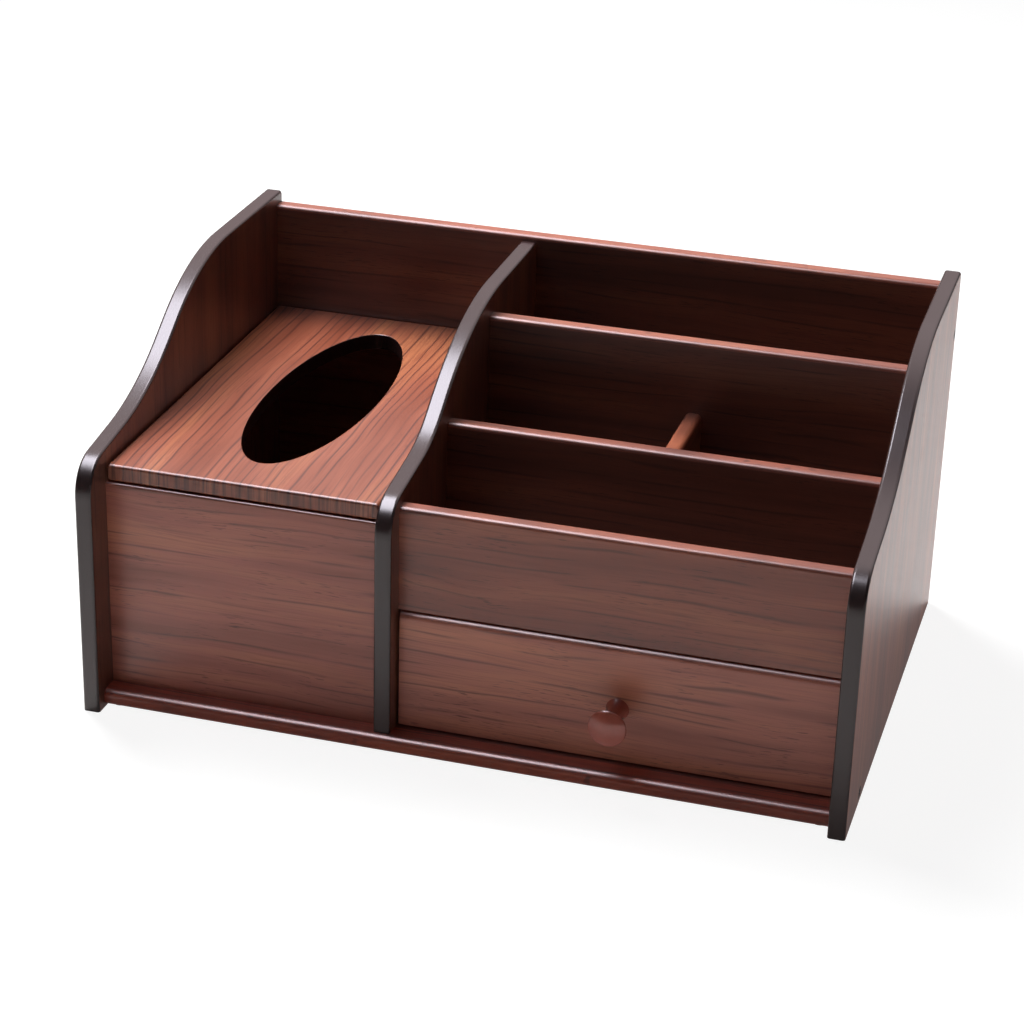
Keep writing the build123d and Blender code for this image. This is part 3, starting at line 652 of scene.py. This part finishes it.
# Studio: a white floor under a softbox. What lights the object and what shines in its gloss are
# two lamps, so that the paint shows a long bright strip while the plain light stays moderate.
studio = {
    "floorSize": 6.0, "floorDrop": 0.3, "floorDiffuse": 0.95, "floorGlossy": 1.0,
    "floorWhite": 0.9, "floorVeil": 0.25, "floorGlow": 0.3, "floorTint": "#fff0ee",
    "keyPlace": (-0.50, 0.46, 1.05), "keyAim": (0.0, 0.0, 0.1), "keySize": (0.7, 0.7),
    "keyPower": 27.0,
    "stripPlace": (-0.41, -0.16, 1.15), "stripSize": (0.64, 0.85), "stripTurn": -25.0,
    "stripPower": 37.0, "stripTint": "#f6f3ff",
    "roomTint": "#fff0f2", "roomDiffuse": 0.03, "roomFront": 0.10, "roomRear": -0.03,
    "roomRise": 2.6, "roomRearFull": 0.5,
}

half = studio["floorSize"] / 2
floorCorners = [(-half, -half, 0), (half, -half, 0), (half, half, 0), (-half, half, 0)]
floorMesh = bpy.data.meshes.new("floor")
floorMesh.from_pydata(floorCorners, [], [(0, 1, 2, 3)])
floor = bpy.data.objects.new("floor", floorMesh)
floor.location.z = -studio["floorDrop"] * mm
bpy.context.scene.collection.objects.link(floor)
floorPaint, tree = newMaterial("whitePaperFloor")
rays = addNode(tree, "ShaderNodeLightPath").outputs
paperTones = {0: rays["Is Glossy Ray"], 6: grey(studio["floorDiffuse"]), 7: grey(studio["floorGlossy"])}
paperTone = addNode(tree, "ShaderNodeMix", paperTones, data_type="RGBA").outputs[2]
paper = addNode(tree, "ShaderNodeBsdfDiffuse", [paperTone])
glossGlow = addNode(
    tree, "ShaderNodeMath", [rays["Is Glossy Ray"], studio["floorGlow"]], operation="MULTIPLY")
paperGlow = addNode(tree, "ShaderNodeEmission", [colour(studio["floorTint"]), glossGlow])
litPaper = addNode(tree, "ShaderNodeAddShader", [paper, paperGlow])
veil = addNode(tree, "ShaderNodeBsdfDiffuse", [grey(studio["floorVeil"])])  # keeps the shadow in view
glow = addNode(tree, "ShaderNodeEmission", [grey(1.0), studio["floorWhite"]])
shown = addNode(tree, "ShaderNodeAddShader", [veil, glow])
seen = addNode(tree, "ShaderNodeMixShader", [rays["Is Camera Ray"], litPaper, shown])
addNode(tree, "ShaderNodeOutputMaterial", [seen])
floorMesh.materials.append(floorPaint)


def addSoftbox(name, place, aim, size, power):
    lamp = bpy.data.lights.new(name, "AREA")
    lamp.shape = "RECTANGLE"
    lamp.size, lamp.size_y = size
    lamp.energy = power
    softbox = bpy.data.objects.new(name, lamp)
    towards = (Vector(aim) - Vector(place)).to_track_quat("-Z", "Y")
    softbox.matrix_world = Matrix.Translation(place) @ towards.to_matrix().to_4x4()
    bpy.context.scene.collection.objects.link(softbox)
    return softbox


key = addSoftbox("keySoftbox", studio["keyPlace"], studio["keyAim"], studio["keySize"], studio["keyPower"])
key.visible_glossy = False
belowStrip = (studio["stripPlace"][0], studio["stripPlace"][1], 0)
strip = addSoftbox(
    "glossStrip", studio["stripPlace"], belowStrip, studio["stripSize"], studio["stripPower"])
strip.matrix_world = strip.matrix_world @ Matrix.Rotation(math.radians(-studio["stripTurn"]), 4, "Z")
strip.visible_diffuse = False
strip.data.color = colour(studio["stripTint"])[:3]

# Room: nearly dark for plain light, and in the gloss it brightens upwards at the rear
world = bpy.data.worlds.new("paleRoom")
bpy.context.scene.world = world
world.use_nodes = True
tree = world.node_tree
tree.nodes.clear()
rays = addNode(tree, "ShaderNodeLightPath").outputs
heading = addNode(tree, "ShaderNodeTexCoord").outputs["Generated"]
headingParts = addNode(tree, "ShaderNodeSeparateXYZ", [heading]).outputs
rear = addNode(tree, "ShaderNodeMapRange", [headingParts[1], 0.0, studio["roomRearFull"]])
rise = addNode(
    tree, "ShaderNodeMath", [headingParts[2], studio["roomRise"], studio["roomRear"]],
    operation="MULTIPLY_ADD")
roomTone = addNode(tree, "ShaderNodeMath", [rear, rise, studio["roomFront"]], operation="MULTIPLY_ADD")
shine = addNode(tree, "ShaderNodeBackground", [colour(studio["roomTint"]), roomTone])
fill = addNode(tree, "ShaderNodeBackground", [grey(1.0), studio["roomDiffuse"]])
white = addNode(tree, "ShaderNodeBackground", [grey(1.0), 1.0])
lit = addNode(tree, "ShaderNodeMixShader", [rays["Is Glossy Ray"], fill, shine])
seen = addNode(tree, "ShaderNodeMixShader", [rays["Is Camera Ray"], lit, white])
addNode(tree, "ShaderNodeOutputWorld", [seen])

# Camera: the photograph's view, from the front, a little to the right and from above.
# Angles are in degrees, the distance and the target in millimetres.
view = {
    "azimuth": 15.656, "elevation": 24.914, "roll": -1.638, "distance": 1458.1,
    "target": (-9.77, 0.0, 83.94), "focalPixels": 2736.7, "imagePixels": 1024, "sensor": 36.0,
}
az, el, roll = (math.radians(view[angle]) for angle in ("azimuth", "elevation", "roll"))
back = Vector((math.sin(az) * math.cos(el), -math.cos(az) * math.cos(el), math.sin(el)))
right = Vector((0, 0, 1)).cross(back).normalized()
up = back.cross(right)
rolledRight = math.cos(roll) * right - math.sin(roll) * up
rolledUp = math.sin(roll) * right + math.cos(roll) * up
cameraData = bpy.data.cameras.new("photoCamera")
cameraData.sensor_width = view["sensor"]
cameraData.lens = view["focalPixels"] / view["imagePixels"] * view["sensor"]
camera = bpy.data.objects.new("photoCamera", cameraData)
place = (Vector(view["target"]) + back * view["distance"]) * mm
rotation = Matrix((rolledRight, rolledUp, back)).transposed()
camera.matrix_world = Matrix.Translation(place) @ rotation.to_4x4()
bpy.context.scene.collection.objects.link(camera)
bpy.context.scene.camera = camera
bpy.context.scene.view_settings.view_transform = "Standard"
print("studio and camera set")
